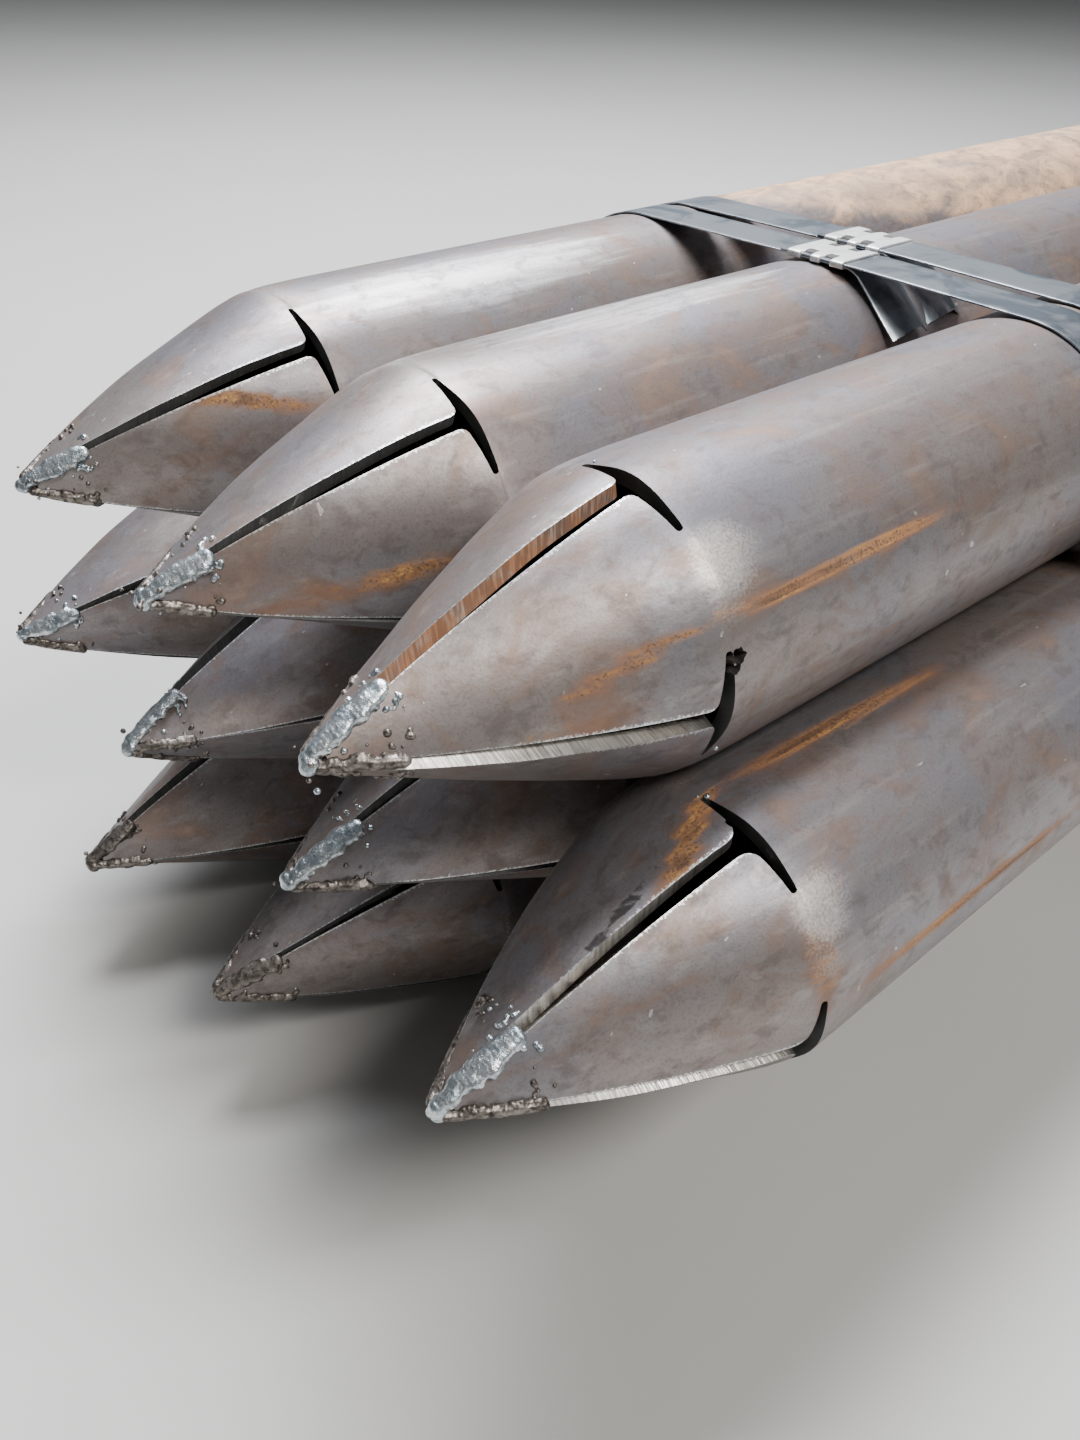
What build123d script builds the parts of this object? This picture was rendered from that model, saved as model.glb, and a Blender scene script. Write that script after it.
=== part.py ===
from build123d import *
from math import atan2, cos, degrees, radians, sin, sqrt, tan
import os

# Strapped bundle of ten steel pipes with pointed front ends. Millimetres.
# +X runs along the pipes, away from their points; +Y is to the left of someone who
# looks along +X; +Z is up. The origin is on the floor, under the middle of the bundle.

# Pipe: a common round tube, cut to a stock length
PIPE_DIAMETER = 127.0
PIPE_WALL = 6.0
PIPE_LENGTH = 3000.0
PIPE_SPACE = 0.3            # clear gap between neighbouring pipes

# Point: four petals cut from the tube, bent in and welded together
PETALS = 4
POINT_LENGTH = 141.0        # from the tip to the slots at the petals' roots
TIP_RADIUS = 5.5            # blunt end of the weld that closes the point
SLOT_ANGLE = 43.0           # arc of each slot, centred on a seam
SLOT_WIDTH = 1.6            # at the slot's ends, as wide as the cut
SLOT_OPENING = 5.5          # at the seam, where the bent petals have drawn away
CORNER_CUT = 4.5            # corner of a petal that is taken off, beside the slot
SEAM_WIDTH = 4.0            # gap between two petals at their roots
SEAM_WIDTH_AT_WELD = 1.2    # the same gap where the weld starts
WELD_LENGTH = 40.0          # from the tip, along X
WELD_RADIUS = 4.8           # half the width of a bead at its start
WELD_TIP_RADIUS = 4.0       # and at the tip
WELD_RISE = 1.4             # how far the bead stands out of the seam
BLOW_OUT_RADIUS = 3.0       # ragged hole at one slot's end, left by the cutting torch

# Strap: one strip of steel, wound once round the bundle, its ends overlapped in a seal
STRAP_WIDTH = 32.0
STRAP_THICKNESS = 0.9
STRAP_CLEARANCE = 0.3       # between the strap and the pipes
LAYER_SPACE = 0.1           # between the overlapped layers
STRAP_SETBACK = 405.0       # outer strap, from the mean tip or from the pipes' rear ends
STRAP_SPACE = 9.0           # between the two straps of a pair
TAIL_BEND_RADIUS = 15.0
TAIL_DROP_ANGLE = 37.0      # how steeply the free end hangs into the valley between pipes
TAIL_LENGTH = 44.0
END_OVERHANG = 6.0          # how far the cut upper end reaches past its seal

# Seal: a folded sleeve of sheet steel, crimped with notches on both sides
SEAL_LENGTH = 36.0
SEAL_WALL = 1.1
SEAL_SIDE_CLEARANCE = 0.3
SEAL_CLEARANCE = 0.15
SEAL_SHIFTS = {"near": -2.0, "far": 4.0}          # along Y from the middle pipe's crest
NOTCH_WIDTH = 7.0
NOTCH_DEPTH = 5.0
NOTCH_PITCH = 13.0

# Each pipe: its place in the hexagonal packing, in half pitches across and rows down,
# how far its tip is set back from the mean tip, and the angle of its first seam,
# measured in the cross-section from -Y towards +Z
PIPES = {
    "pipe_top_left": (2, 0, 6.0, 49.0),
    "pipe_top_middle": (0, 0, -2.0, 56.0),
    "pipe_top_right": (-2, 0, -12.0, 82.0),
    "pipe_middle_outer_left": (3, 1, 9.0, 38.0),
    "pipe_middle_inner_left": (1, 1, 5.0, 5.0),
    "pipe_middle_inner_right": (-1, 1, 11.0, 70.0),
    "pipe_middle_outer_right": (-3, 1, -13.0, 73.0),
    "pipe_bottom_left": (2, 2, -3.0, 82.0),
    "pipe_bottom_middle": (0, 2, 0.0, 48.0),
    "pipe_bottom_right": (-2, 2, 60.0, 30.0),
}
TORN_PIPE = "pipe_top_right"          # the pipe whose slot has the blow-out hole
LAST_ROW = 2
WRAPPED = [(2, 0), (3, 1), (2, 2), (-2, 2), (-3, 1), (-2, 0)]     # pipes that a strap bends round

# Worked out from the values above
RADIUS = PIPE_DIAMETER / 2
BORE_RADIUS = RADIUS - PIPE_WALL
PITCH = PIPE_DIAMETER + PIPE_SPACE
ROW_HEIGHT = PITCH * sqrt(3) / 2
FLOOR_CLEARANCE = STRAP_THICKNESS + STRAP_CLEARANCE
SETBACKS = [place[2] for place in PIPES.values()]
MEAN_TIP_X = -(PIPE_LENGTH + min(SETBACKS) + max(SETBACKS)) / 2
SEAM_STEP = 360.0 / PETALS
PETAL_LENGTH = POINT_LENGTH - TIP_RADIUS      # along X, from root to tip
LEAN_ANGLE = degrees(atan2(RADIUS - TIP_RADIUS / 2, PETAL_LENGTH))
SEAM_LENGTH = POINT_LENGTH - WELD_LENGTH      # from the slots to the start of the weld
WRAP_STEP = 360.0 / len(WRAPPED)
FROM_BASE = (Align.CENTER, Align.CENTER, Align.MIN)


def axis_position(across, row):
    """Y and Z of a pipe's axis."""
    return across * PITCH / 2, FLOOR_CLEARANCE + RADIUS + (LAST_ROW - row) * ROW_HEIGHT


def trimmed(radius):
    """Round bar along X whose front is trimmed to the point by one leaning cylinder a petal.

    Each cylinder is a little flatter than the bar, so that it meets the bar along the
    petal's root, at x = 0, and leans in over the petal's length.
    """
    flat_radius = radius / cos(radians(LEAN_ANGLE))
    rear = PIPE_LENGTH - POINT_LENGTH
    bar = Pos(X=-PETAL_LENGTH) * Rot(Y=90) * Cylinder(radius, PETAL_LENGTH + rear, align=FROM_BASE)
    leaning = Pos(Y=-flat_radius) * Rot(Y=90) * Cylinder(flat_radius, 4 * POINT_LENGTH)
    leaning = Pos(Y=radius) * Rot(Z=LEAN_ANGLE) * leaning
    block = Pos(X=PIPE_WALL) * Rot(Y=-90) * Cylinder(2 * radius, 2 * POINT_LENGTH, align=FROM_BASE)
    outside = block - leaning
    for step in range(PETALS):
        bar -= Rot(X=(step + 0.5) * SEAM_STEP) * outside
    return bar


def seam_radius(distance):
    """Distance of the seam from the pipe's axis, at a distance in front of the slots."""
    shift = distance * tan(radians(LEAN_ANGLE))
    half = radians(SEAM_STEP / 2)
    return -shift * cos(half) + sqrt(RADIUS ** 2 - (shift * sin(half)) ** 2)


def seam_cutter(blow_out):
    """T-shaped cut of one seam and its slot, seen from outside and cut inwards to the axis."""
    half_arc = RADIUS * sin(radians(SLOT_ANGLE / 2))
    slot = Polyline(
        (0, half_arc), (-SLOT_WIDTH, half_arc), (-SLOT_OPENING, 0),
        (-SLOT_WIDTH, -half_arc), (0, -half_arc), close=True,
    )
    seam = Polyline(
        (-SLOT_WIDTH, SEAM_WIDTH / 2), (-SEAM_LENGTH, SEAM_WIDTH_AT_WELD / 2),
        (-SEAM_LENGTH, -SEAM_WIDTH_AT_WELD / 2), (-SLOT_WIDTH, -SEAM_WIDTH / 2), close=True,
    )
    outline = make_face(slot) + make_face(seam)
    at_seam = outline.vertices().filter_by(lambda v: 0 < abs(v.Y) < SEAM_WIDTH)
    petal_corners = at_seam.filter_by(lambda v: v.X > -SEAM_LENGTH)
    outline = chamfer(petal_corners, CORNER_CUT)
    if blow_out:
        outline += Pos(-BLOW_OUT_RADIUS / 2, half_arc) * Circle(BLOW_OUT_RADIUS)
    return extrude(outline, amount=1.5 * RADIUS)


def weld():
    """Blunt tip with four beads, one along each seam, that widen away from the tip.

    The beads are rough, so their section is a plain square on its corner.
    """
    tip = Vector(-PETAL_LENGTH, 0, 0)
    first = Vector(-SEAM_LENGTH, 0, seam_radius(SEAM_LENGTH) + WELD_RISE - WELD_RADIUS)
    start = Plane(first, x_dir=(0, 1, 0), z_dir=tip - first)
    end = Plane(tip, x_dir=(0, 1, 0), z_dir=tip - first)
    bead = loft([start * RegularPolygon(WELD_RADIUS, 4), end * RegularPolygon(WELD_TIP_RADIUS, 4)])
    front = Plane((-POINT_LENGTH, 0, 0), z_dir=(-1, 0, 0))
    back = Plane((-PETAL_LENGTH + TIP_RADIUS / 2, 0, 0), z_dir=(-1, 0, 0))
    blunt = RegularPolygon(TIP_RADIUS, 2 * PETALS)
    shape = loft([back * blunt, front * scale(blunt, 0.5)])
    for step in range(PETALS):
        shape += Rot(X=step * SEAM_STEP) * bead
    return shape


def pipe(torn):
    """One whole pipe along +X, with its slots at x = 0 and its seams on the Y and Z axes."""
    body = trimmed(RADIUS) - trimmed(BORE_RADIUS)
    turns = [Rot(X=step * SEAM_STEP) for step in range(PETALS)]
    body -= [turns[0] * seam_cutter(torn), *[turn * seam_cutter(False) for turn in turns[1:]]]
    return body + weld()


def placed(body, across, row, setback, seam_angle):
    """A pipe at its place in the bundle, turned to its seam angle."""
    y, z = axis_position(across, row)
    x = MEAN_TIP_X + setback + POINT_LENGTH
    return Pos(x, y, z) * Rot(X=180 - seam_angle) * body


def wrap_corner(across, row, outward, distance):
    """Corner of the strap's path outside one pipe, before it is rounded."""
    y, z = axis_position(across, row)
    reach = distance / cos(radians(WRAP_STEP / 2))
    return y + reach * cos(radians(outward)), z + reach * sin(radians(outward))


def strap_levels():
    """Heights of the lower and the upper layer's middle planes where they pass the seal."""
    crest = axis_position(0, 0)[1] + RADIUS
    lower = crest + STRAP_CLEARANCE + SEAL_WALL + SEAL_CLEARANCE + STRAP_THICKNESS / 2
    return lower, lower + STRAP_THICKNESS + LAYER_SPACE


def strap(which, x):
    """One strip with its free lower end, its run round the bundle and its cut upper end."""
    lower, upper = strap_levels()
    distance = RADIUS + STRAP_CLEARANCE + STRAP_THICKNESS / 2
    shift = SEAL_SHIFTS[which]
    flat = SEAL_LENGTH / 2 + END_OVERHANG
    tail_corner = (shift - flat, lower)
    drop = radians(TAIL_DROP_ANGLE)
    tail_end = (tail_corner[0] - TAIL_LENGTH * cos(drop), lower - TAIL_LENGTH * sin(drop))
    corners = [
        wrap_corner(*place, WRAP_STEP * (1 - turn), distance) for turn, place in enumerate(WRAPPED)
    ]
    rise = (shift - flat - END_OVERHANG, upper)
    route = [tail_end, tail_corner, (shift + flat, lower), *corners, rise, (shift + flat, upper)]
    radii = [TAIL_BEND_RADIUS, PIPE_DIAMETER, *[distance] * len(corners), PIPE_DIAMETER]
    path = FilletPolyline(*route, radius=radii)
    strip = trace(path, STRAP_THICKNESS)
    return Pos(X=x) * extrude(Plane.YZ * strip, STRAP_WIDTH)


def seal(which, x):
    """Notched sleeve round both layers of a strap."""
    lower, upper = strap_levels()
    inner_height = upper - lower + STRAP_THICKNESS + 2 * SEAL_CLEARANCE
    inner_width = STRAP_WIDTH + 2 * SEAL_SIDE_CLEARANCE
    outer_width = inner_width + 2 * SEAL_WALL
    outer_height = inner_height + 2 * SEAL_WALL
    sleeve = Box(outer_width, SEAL_LENGTH, outer_height)
    sleeve -= Box(inner_width, 2 * SEAL_LENGTH, inner_height)
    notch = Box(2 * NOTCH_DEPTH, NOTCH_WIDTH, SEAL_WALL + inner_height)
    for side in (-1, 1):
        for end in (-1, 1):
            top = Pos(side * outer_width / 2, end * NOTCH_PITCH / 2, outer_height / 2)
            sleeve -= top * notch
    middle = (lower + upper) / 2
    return Pos(x + STRAP_WIDTH / 2, SEAL_SHIFTS[which], middle) * sleeve


def strap_positions():
    """Low edge of each strap along X, by its end of the bundle and its place in the pair."""
    rear_x = MEAN_TIP_X + PIPE_LENGTH - STRAP_WIDTH
    setbacks = {"near": STRAP_SETBACK, "far": STRAP_SETBACK + STRAP_WIDTH + STRAP_SPACE}
    positions = {}
    for which, setback in setbacks.items():
        positions["front", which] = MEAN_TIP_X + setback
        positions["rear", which] = rear_x - setback
    return positions


def write(name, solid):
    """Save one piece under its own name."""
    solid.label = name
    export_step(solid, f"parts/{name}.step")


os.makedirs("parts", exist_ok=True)
bodies = {torn: pipe(torn) for torn in (False, True)}
for pipe_name, place in PIPES.items():
    write(pipe_name, placed(bodies[pipe_name == TORN_PIPE], *place))
for (end, which), near_edge in strap_positions().items():
    write(f"strap_{end}_{which}", strap(which, near_edge))
    write(f"seal_{end}_{which}", seal(which, near_edge))
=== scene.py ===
"""Looks of a strapped bundle of ten pointed steel pipes.

Each kind of piece is a class: the pointed pipe, the weld that closes its point, the steel strap
and its crimped seal. Their sizes are dataclass fields in millimetres, as they would be on a
drawing, and are turned to metres where a mesh is made. Their places come from the frame. The
finishes, the patches of wear and of painted highlight, and the studio with its lamps are
classes too.
"""
from __future__ import annotations

import logging
import math
import random
from collections.abc import Callable
from dataclasses import dataclass
from enum import Enum

import bmesh
import bpy
from mathutils import Matrix, Vector, noise

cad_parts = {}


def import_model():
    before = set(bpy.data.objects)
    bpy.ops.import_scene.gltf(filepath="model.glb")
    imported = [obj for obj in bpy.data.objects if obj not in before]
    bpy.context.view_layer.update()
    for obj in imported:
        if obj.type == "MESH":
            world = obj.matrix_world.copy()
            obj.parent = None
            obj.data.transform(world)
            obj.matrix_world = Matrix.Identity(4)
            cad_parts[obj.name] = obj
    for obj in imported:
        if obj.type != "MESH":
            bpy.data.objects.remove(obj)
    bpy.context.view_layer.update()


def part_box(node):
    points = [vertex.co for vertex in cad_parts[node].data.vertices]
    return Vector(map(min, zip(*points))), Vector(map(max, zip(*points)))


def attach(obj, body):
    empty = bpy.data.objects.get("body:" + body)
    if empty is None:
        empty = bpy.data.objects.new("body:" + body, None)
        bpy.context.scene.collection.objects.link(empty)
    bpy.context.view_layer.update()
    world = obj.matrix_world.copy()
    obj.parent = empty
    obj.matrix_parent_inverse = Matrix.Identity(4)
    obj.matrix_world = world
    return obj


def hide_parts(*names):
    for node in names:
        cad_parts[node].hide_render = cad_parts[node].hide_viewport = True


log = logging.getLogger("bundle")

MM = 0.001                       # metres in a millimetre
BODY = "root"                    # the bundle is one body
PETALS = 4
QUARTER = 360 / PETALS           # the turn that one petal takes up, degrees
ANGLE_SLACK = 0.01               # allowance for rounding, degrees

BORE_SLOT, CUT_SLOT = 1, 2       # a pipe's finishes after the outer one
SHARP_ANGLE = 50.0               # edges that turn further than this are rounded, degrees
ROUNDING_FACES = 2               # rows of faces across a rounded edge
RELIEF_STRENGTH = 0.6            # how strongly the relief of a finish shows

VALUE, FACTOR, ADDEND = 0, 1, 2          # inputs of a node that multiplies and adds
SHARE, BELOW, ABOVE = 0, 6, 7            # inputs of a node that mixes two colours


class Mark(Enum):
    """What a mark is; some are painted shade or highlight. Each value is the name of a mesh
    attribute.
    """

    RUST = "rust"
    POLISH = "polish"
    # soot on a pipe; on a seal, painted shade in its crimps and on its lower part
    SOOT_AND_SHADE = "soot_and_shade"
    WARM = "warm"
    # pale scratches along a tube, together with a painted highlight
    PALE_SCRATCHES_AND_HIGHLIGHT = "pale"
    HEAT = "heat"
    BURR = "burr"
    # painted shade: near black on cut walls in the slots and on some edges
    PAINTED_SHADE_EDGE = "painted_shade_edge"
    RUSTY_EDGE = "rusty_edge"


EDGE_MARKS = (Mark.BURR, Mark.PAINTED_SHADE_EDGE, Mark.RUSTY_EDGE)


class Lay(Enum):
    """Where a strap's two layers are, seen across the strap."""

    LOWER = 0
    UPPER = 1


def linear(colour: str) -> tuple[float, float, float, float]:
    """Turn an sRGB hex colour into the linear colour that a shader takes.

    Args:
        colour: six hex digits, with or without a leading hash.

    Returns:
        Linear red, green and blue, with an alpha of 1.
    """
    digits = colour.lstrip("#")
    channels = [int(digits[start:start + 2], 16) / 255 for start in (0, 2, 4)]
    lit = [c / 12.92 if c <= 0.04045 else ((c + 0.055) / 1.055) ** 2.4 for c in channels]
    return (*lit, 1.0)


def smooth_step(low: float, high: float, value: float) -> float:
    """Ease from 0 at low to 1 at high."""
    share = min(max((value - low) / (high - low), 0.0), 1.0)
    return share * share * (3 - 2 * share)


def wire(tree: bpy.types.NodeTree, node: bpy.types.Node, values: dict) -> None:
    """Set a node's properties and inputs, and link those that get a socket.

    Args:
        tree: the node tree.
        node: the node.
        values: values by name, where a name in lower case is a property and any other name or
            number an input. A string for an input is an sRGB colour.
    """
    for name, value in values.items():
        if isinstance(name, str) and name.islower():
            setattr(node, name, value)
        elif isinstance(value, bpy.types.NodeSocket):
            tree.links.new(value, node.inputs[name])
        else:
            node.inputs[name].default_value = linear(value) if isinstance(value, str) else value


def add_node(tree: bpy.types.NodeTree, kind: str, values: dict) -> bpy.types.NodeSocket:
    """Add one node with its settings and links.

    Args:
        tree: the node tree.
        kind: the node's type, without its common prefix.
        values: what `wire` sets and links.

    Returns:
        The node's first output in use.
    """
    node = tree.nodes.new("ShaderNode" + kind)
    wire(tree, node, values)
    return next(socket for socket in node.outputs if socket.enabled)


@dataclass(frozen=True)
class Grain:
    """One noise pattern of a surface, from its real size."""

    name: str
    size: float                  # size of its spots, mm
    detail: float = 5.0
    rough: float = 0.6
    warp: float = 0.0
    stretch: tuple[float, float, float] = (1.0, 1.0, 1.0)
    depth: float = 0.0           # relief, mm


@dataclass(frozen=True)
class Coat:
    """One colour laid over those below it, where its grain, helped by its mark, is strong."""

    colour: str
    grain: str
    low: float                   # strength where it starts
    high: float                  # strength where it is whole
    share: float = 1.0
    mark: Mark | None = None
    reach: float = 0.6           # how much the mark adds to the grain
    rough: float = 0.0           # what it adds to the roughness
    metal: float = 0.0           # what it adds to the metallic value
    raised: float = 0.0          # relief, mm


@dataclass(frozen=True)
class Finish:
    """A finish of one kind of steel or paint: its base, its patterns and the coats over it."""

    name: str
    base: str
    roughness: float
    metallic: float = 0.0
    grains: tuple[Grain, ...] = ()
    coats: tuple[Coat, ...] = ()

    def build(self) -> bpy.types.Material:
        """Make the material.

        Returns:
            The material.
        """
        material = bpy.data.materials.new(self.name)
        material.use_nodes = True
        tree = material.node_tree
        place = add_node(tree, "TexCoord", {}).node.outputs["Object"]
        surface = {"Base Color": self.base, "Roughness": self.roughness, "Metallic": self.metallic}
        patterns = {}
        for grain in self.grains:
            spot = add_node(tree, "Mapping", {"Vector": place, "Scale": grain.stretch})
            patterns[grain.name] = add_node(tree, "TexNoise", {
                "Vector": spot, "Scale": 1 / (grain.size * MM), "Detail": grain.detail,
                "Roughness": grain.rough, "Distortion": grain.warp})
            if grain.depth:
                self.relief(tree, surface, patterns[grain.name], grain.depth)
        for coat in self.coats:
            self.lay(tree, surface, coat, patterns[coat.grain])
        wire(tree, tree.nodes["Principled BSDF"], surface)
        return material

    def lay(self, tree: bpy.types.NodeTree, surface: dict, coat: Coat,
            pattern: bpy.types.NodeSocket) -> None:
        """Lay one coat over the surface so far.

        Args:
            tree: the material's node tree.
            surface: the shader's values so far, which the coat changes.
            coat: the coat.
            pattern: the coat's grain.
        """
        if coat.mark is not None:
            painted = add_node(tree, "Attribute", {"attribute_name": coat.mark.value})
            pattern = add_node(tree, "Math", {"operation": "MULTIPLY_ADD", VALUE: painted,
                                              FACTOR: coat.reach, ADDEND: pattern})
        share = add_node(tree, "MapRange", {"interpolation_type": "SMOOTHSTEP", "Value": pattern,
                                            "From Min": coat.low, "From Max": coat.high,
                                            "To Max": coat.share})
        surface["Base Color"] = add_node(tree, "Mix", {
            "data_type": "RGBA", SHARE: share, BELOW: surface["Base Color"], ABOVE: coat.colour})
        for name, change in (("Roughness", coat.rough), ("Metallic", coat.metal)):
            if change:
                surface[name] = add_node(tree, "Math", {
                    "operation": "MULTIPLY_ADD", "use_clamp": True,
                    VALUE: share, FACTOR: change, ADDEND: surface[name]})
        if coat.raised:
            self.relief(tree, surface, share, coat.raised)

    def relief(self, tree: bpy.types.NodeTree, surface: dict, height: bpy.types.NodeSocket,
               depth: float) -> None:
        """Raise the surface by a height.

        Args:
            tree: the material's node tree.
            surface: the shader's values so far.
            height: the height, from 0 to 1.
            depth: depth of the relief, mm.
        """
        values = {"Height": height, "Distance": depth * MM, "Strength": RELIEF_STRENGTH}
        if "Normal" in surface:
            values["Normal"] = surface["Normal"]
        surface["Normal"] = add_node(tree, "Bump", values)


# Hot-rolled tube with its mill scale: a thin grey oxide skin with a satin gloss, stained brown and
# purple by handling, marked along its length by the rolls, with rust in orange streaks. Its grit
# is finer in reality and is drawn at 1.1 mm so that it shows.
MILL_SCALE = Finish("mill_scale_steel", "#8A827F", 0.44, 0.7, (
    Grain("cloud", 90, warp=0.6),
    Grain("stains", 30, 6, 0.62, 1.2, (0.6, 1, 1)),
    Grain("mottle", 9, 6, 0.66, 0.4, (0.7, 1, 1), 0.12),
    Grain("streaks", 6, 6, 0.6, stretch=(0.07, 1, 1)),
    Grain("lines", 3.2, 7, 0.72, 0.15, (0.05, 1, 1)),
    Grain("flakes", 6, 8, 0.74, stretch=(0.35, 1, 1)),
    Grain("nicks", 5, 0, stretch=(1, 2.2, 0.7)),
    Grain("grit", 1.1, 3, depth=0.07),
), (
    Coat("#7F7F86", "cloud", 0.4, 0.62, 0.75),
    Coat("#7C6960", "stains", 0.44, 0.66, 0.7, rough=0.06),
    Coat("#E8BF99", "stains", 0.8, 1.36, 1.0, Mark.WARM, 0.7, 0.05, -0.25),
    Coat("#A6A09C", "streaks", 0.52, 0.72, 0.4),
    # Pale streaks: scratches, together with a painted highlight along the upper side of a tube.
    Coat("#D2D1D2", "streaks", 0.7, 1.25, 0.9, Mark.PALE_SCRATCHES_AND_HIGHLIGHT),
    Coat("#5B524F", "mottle", 0.48, 0.68, 0.5, rough=0.1),
    Coat("#B5AFAB", "flakes", 0.6, 0.74, 0.25, rough=-0.06),
    Coat("#5B524E", "grit", 0.5, 0.68, 0.35),
    Coat("#CFCBC6", "nicks", 0.86, 0.88, 0.6, rough=-0.1, raised=-0.2),
    Coat("#A98460", "stains", 0.5, 1.2, 0.8, Mark.HEAT, 0.65, 0.08, -0.35),
    Coat("#87614A", "stains", 0.6, 1.2, 0.75, Mark.RUST, 0.62, 0.1, -0.3),
    Coat("#A0703F", "lines", 0.8, 1.1, 0.88, Mark.RUST, 0.52, 0.2, -0.5, 0.05),
    Coat("#CB9F62", "lines", 1.0, 1.16, 0.75, Mark.RUST, 0.5),
    Coat("#5E4331", "streaks", 0.93, 1.06, 0.7, Mark.RUST, 0.45),
    Coat("#43342B", "grit", 0.9, 1.03, 0.7, Mark.RUST, 0.42, 0.1),
    Coat("#D8D2CB", "grit", 0.6, 1.5, 0.85, Mark.POLISH, 0.6, 0.0, -0.15),
    Coat("#DFE1E2", "grit", 1.02, 1.2, 0.9, Mark.BURR, 0.7, -0.1, 0.2),
    # On the pipes this mark is soot; the seals use the same mark for painted shade.
    Coat("#171413", "mottle", 0.86, 1.0, 0.9, Mark.SOOT_AND_SHADE, 0.5, 0.3, -0.6),
))

# Torch-cut and ground edge of the wall: bare bright steel with fine cuts across it, rusty on some
# edges, and near black, as painted shade, on some other edges and in the slots.
CUT_EDGE = Finish("torch_cut_edge", "#C6C3BE", 0.34, 0.95, (
    Grain("cloud", 16, 5, 0.65, 0.8),
    Grain("ribs", 1.2, 2, 0.5, stretch=(1, 0.08, 0.08), depth=0.35),
), (
    Coat("#8D837A", "cloud", 0.46, 0.68, 0.6, rough=0.12),
    Coat("#5A5550", "ribs", 0.4, 0.68, 0.5),
    Coat("#A67756", "cloud", 0.92, 1.35, 1.0, Mark.RUSTY_EDGE, 0.75, 0.25, -0.75),
    Coat("#6A4B3A", "ribs", 1.1, 1.3, 0.6, Mark.RUSTY_EDGE, 0.75),
    # Painted shade: near black on the marked edges and in the slots.
    Coat("#262827", "cloud", 0.95, 1.15, 0.92, Mark.PAINTED_SHADE_EDGE, 0.75, 0.25, -0.6),
))

# Inside of the tube: the same scale, never rubbed, so dull, dark and a little dusty.
BORE = Finish("bore_mill_scale", "#3A3636", 0.62, 0.4, (
    Grain("cloud", 25, 6, 0.65, stretch=(0.3, 1, 1), depth=0.2),
), (
    Coat("#5A4B41", "cloud", 0.4, 0.7, 0.9, rough=0.12),
))

# Stick weld, ground flat and wire brushed: silver and pale blue, with slag left in its pits.
GROUND_WELD = Finish("ground_weld_steel", "#CDD3D6", 0.27, 0.92, (
    Grain("cloud", 7, 5, 0.65, 0.8),
    Grain("ripple", 2.6, 5, 0.62, 0.4, depth=0.7),
    Grain("pits", 1.6, 2, 0.5),
), (
    Coat("#87949B", "cloud", 0.42, 0.6, 0.9, rough=0.1),
    Coat("#4E5457", "ripple", 0.52, 0.68, 0.75, rough=0.15),
    Coat("#E9EBEA", "pits", 0.58, 0.68, 0.8),
    Coat("#221F1D", "cloud", 0.66, 0.7, 0.9, rough=0.3, metal=-0.6, raised=-0.4),
))

# Stick weld as it cooled: brown-grey ripples, with a skin of slag.
RAW_WELD = Finish("raw_weld_steel", "#8C857E", 0.4, 0.8, (
    Grain("cloud", 6, 5, 0.65, 0.8),
    Grain("ripple", 2.2, 4, 0.6, 0.4, depth=0.5),
), (
    Coat("#5D5650", "cloud", 0.4, 0.6),
    Coat("#2A2624", "ripple", 0.5, 0.64, 0.85, rough=0.2),
))

# Blued and waxed strapping: cold-rolled strip, blue-grey, smooth, with rubbed edges. Its scuffs
# are finer in reality and are drawn at 2.5 mm so that they show.
STRAP_STEEL = Finish("blued_strap_steel", "#BCC3C9", 0.28, 0.88, (
    Grain("cloud", 42, 5, 0.6, 0.8),
    Grain("scuffs", 2.5, 6, 0.7, stretch=(1, 0.08, 0.08), depth=0.04),
    Grain("waves", 55, 2, 0.5, stretch=(0.6, 1, 1), depth=3.0),
), (
    Coat("#747D85", "cloud", 0.42, 0.6, rough=0.06),
    Coat("#D2D6D5", "scuffs", 0.56, 0.74, 0.45, rough=0.08),
))

# Crimped strap seal: bright zinc-coated sheet, with near black painted shade in the crimps and on
# its lower part.
SEAL_STEEL = Finish("zinc_seal_steel", "#E2E2DF", 0.42, 0.7, (
    Grain("cloud", 9, 5, 0.6, 0.6),
    Grain("specks", 1.8, 4, 0.65, depth=0.12),
), (
    Coat("#ACACA9", "cloud", 0.42, 0.64, 0.8, rough=0.1),
    Coat("#3C3733", "specks", 0.62, 0.74, 0.7, rough=0.2),
    # Painted shade: near black in the crimps and on the lower part of the sleeve.
    Coat("#211E1D", "specks", 0.85, 1.15, 0.95, Mark.SOOT_AND_SHADE, 0.75, 0.3, -0.6),
))

# Plain pale floor paint: matt, with faint clouds in it.
FLOOR_PAINT = Finish("pale_floor", "#B4B3AF", 0.7, 0.0, (Grain("cloud", 700, 3, 0.5),), (
    Coat("#A8A7A3", "cloud", 0.3, 0.7, 0.3),
))


def extrude_row(mesh: bmesh.types.BMesh, edges: list) -> tuple[list, list]:
    """Extrude a row of edges in place.

    Args:
        mesh: the mesh that they are in.
        edges: the row.

    Returns:
        The new points and the new edges, still on top of the old ones.
    """
    made = bmesh.ops.extrude_edge_only(mesh, edges=edges)["geom"]
    points = [item for item in made if isinstance(item, bmesh.types.BMVert)]
    row = [item for item in made if isinstance(item, bmesh.types.BMEdge)]
    fresh = set(points)
    return points, [edge for edge in row if edge.verts[0] in fresh and edge.verts[1] in fresh]


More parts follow.
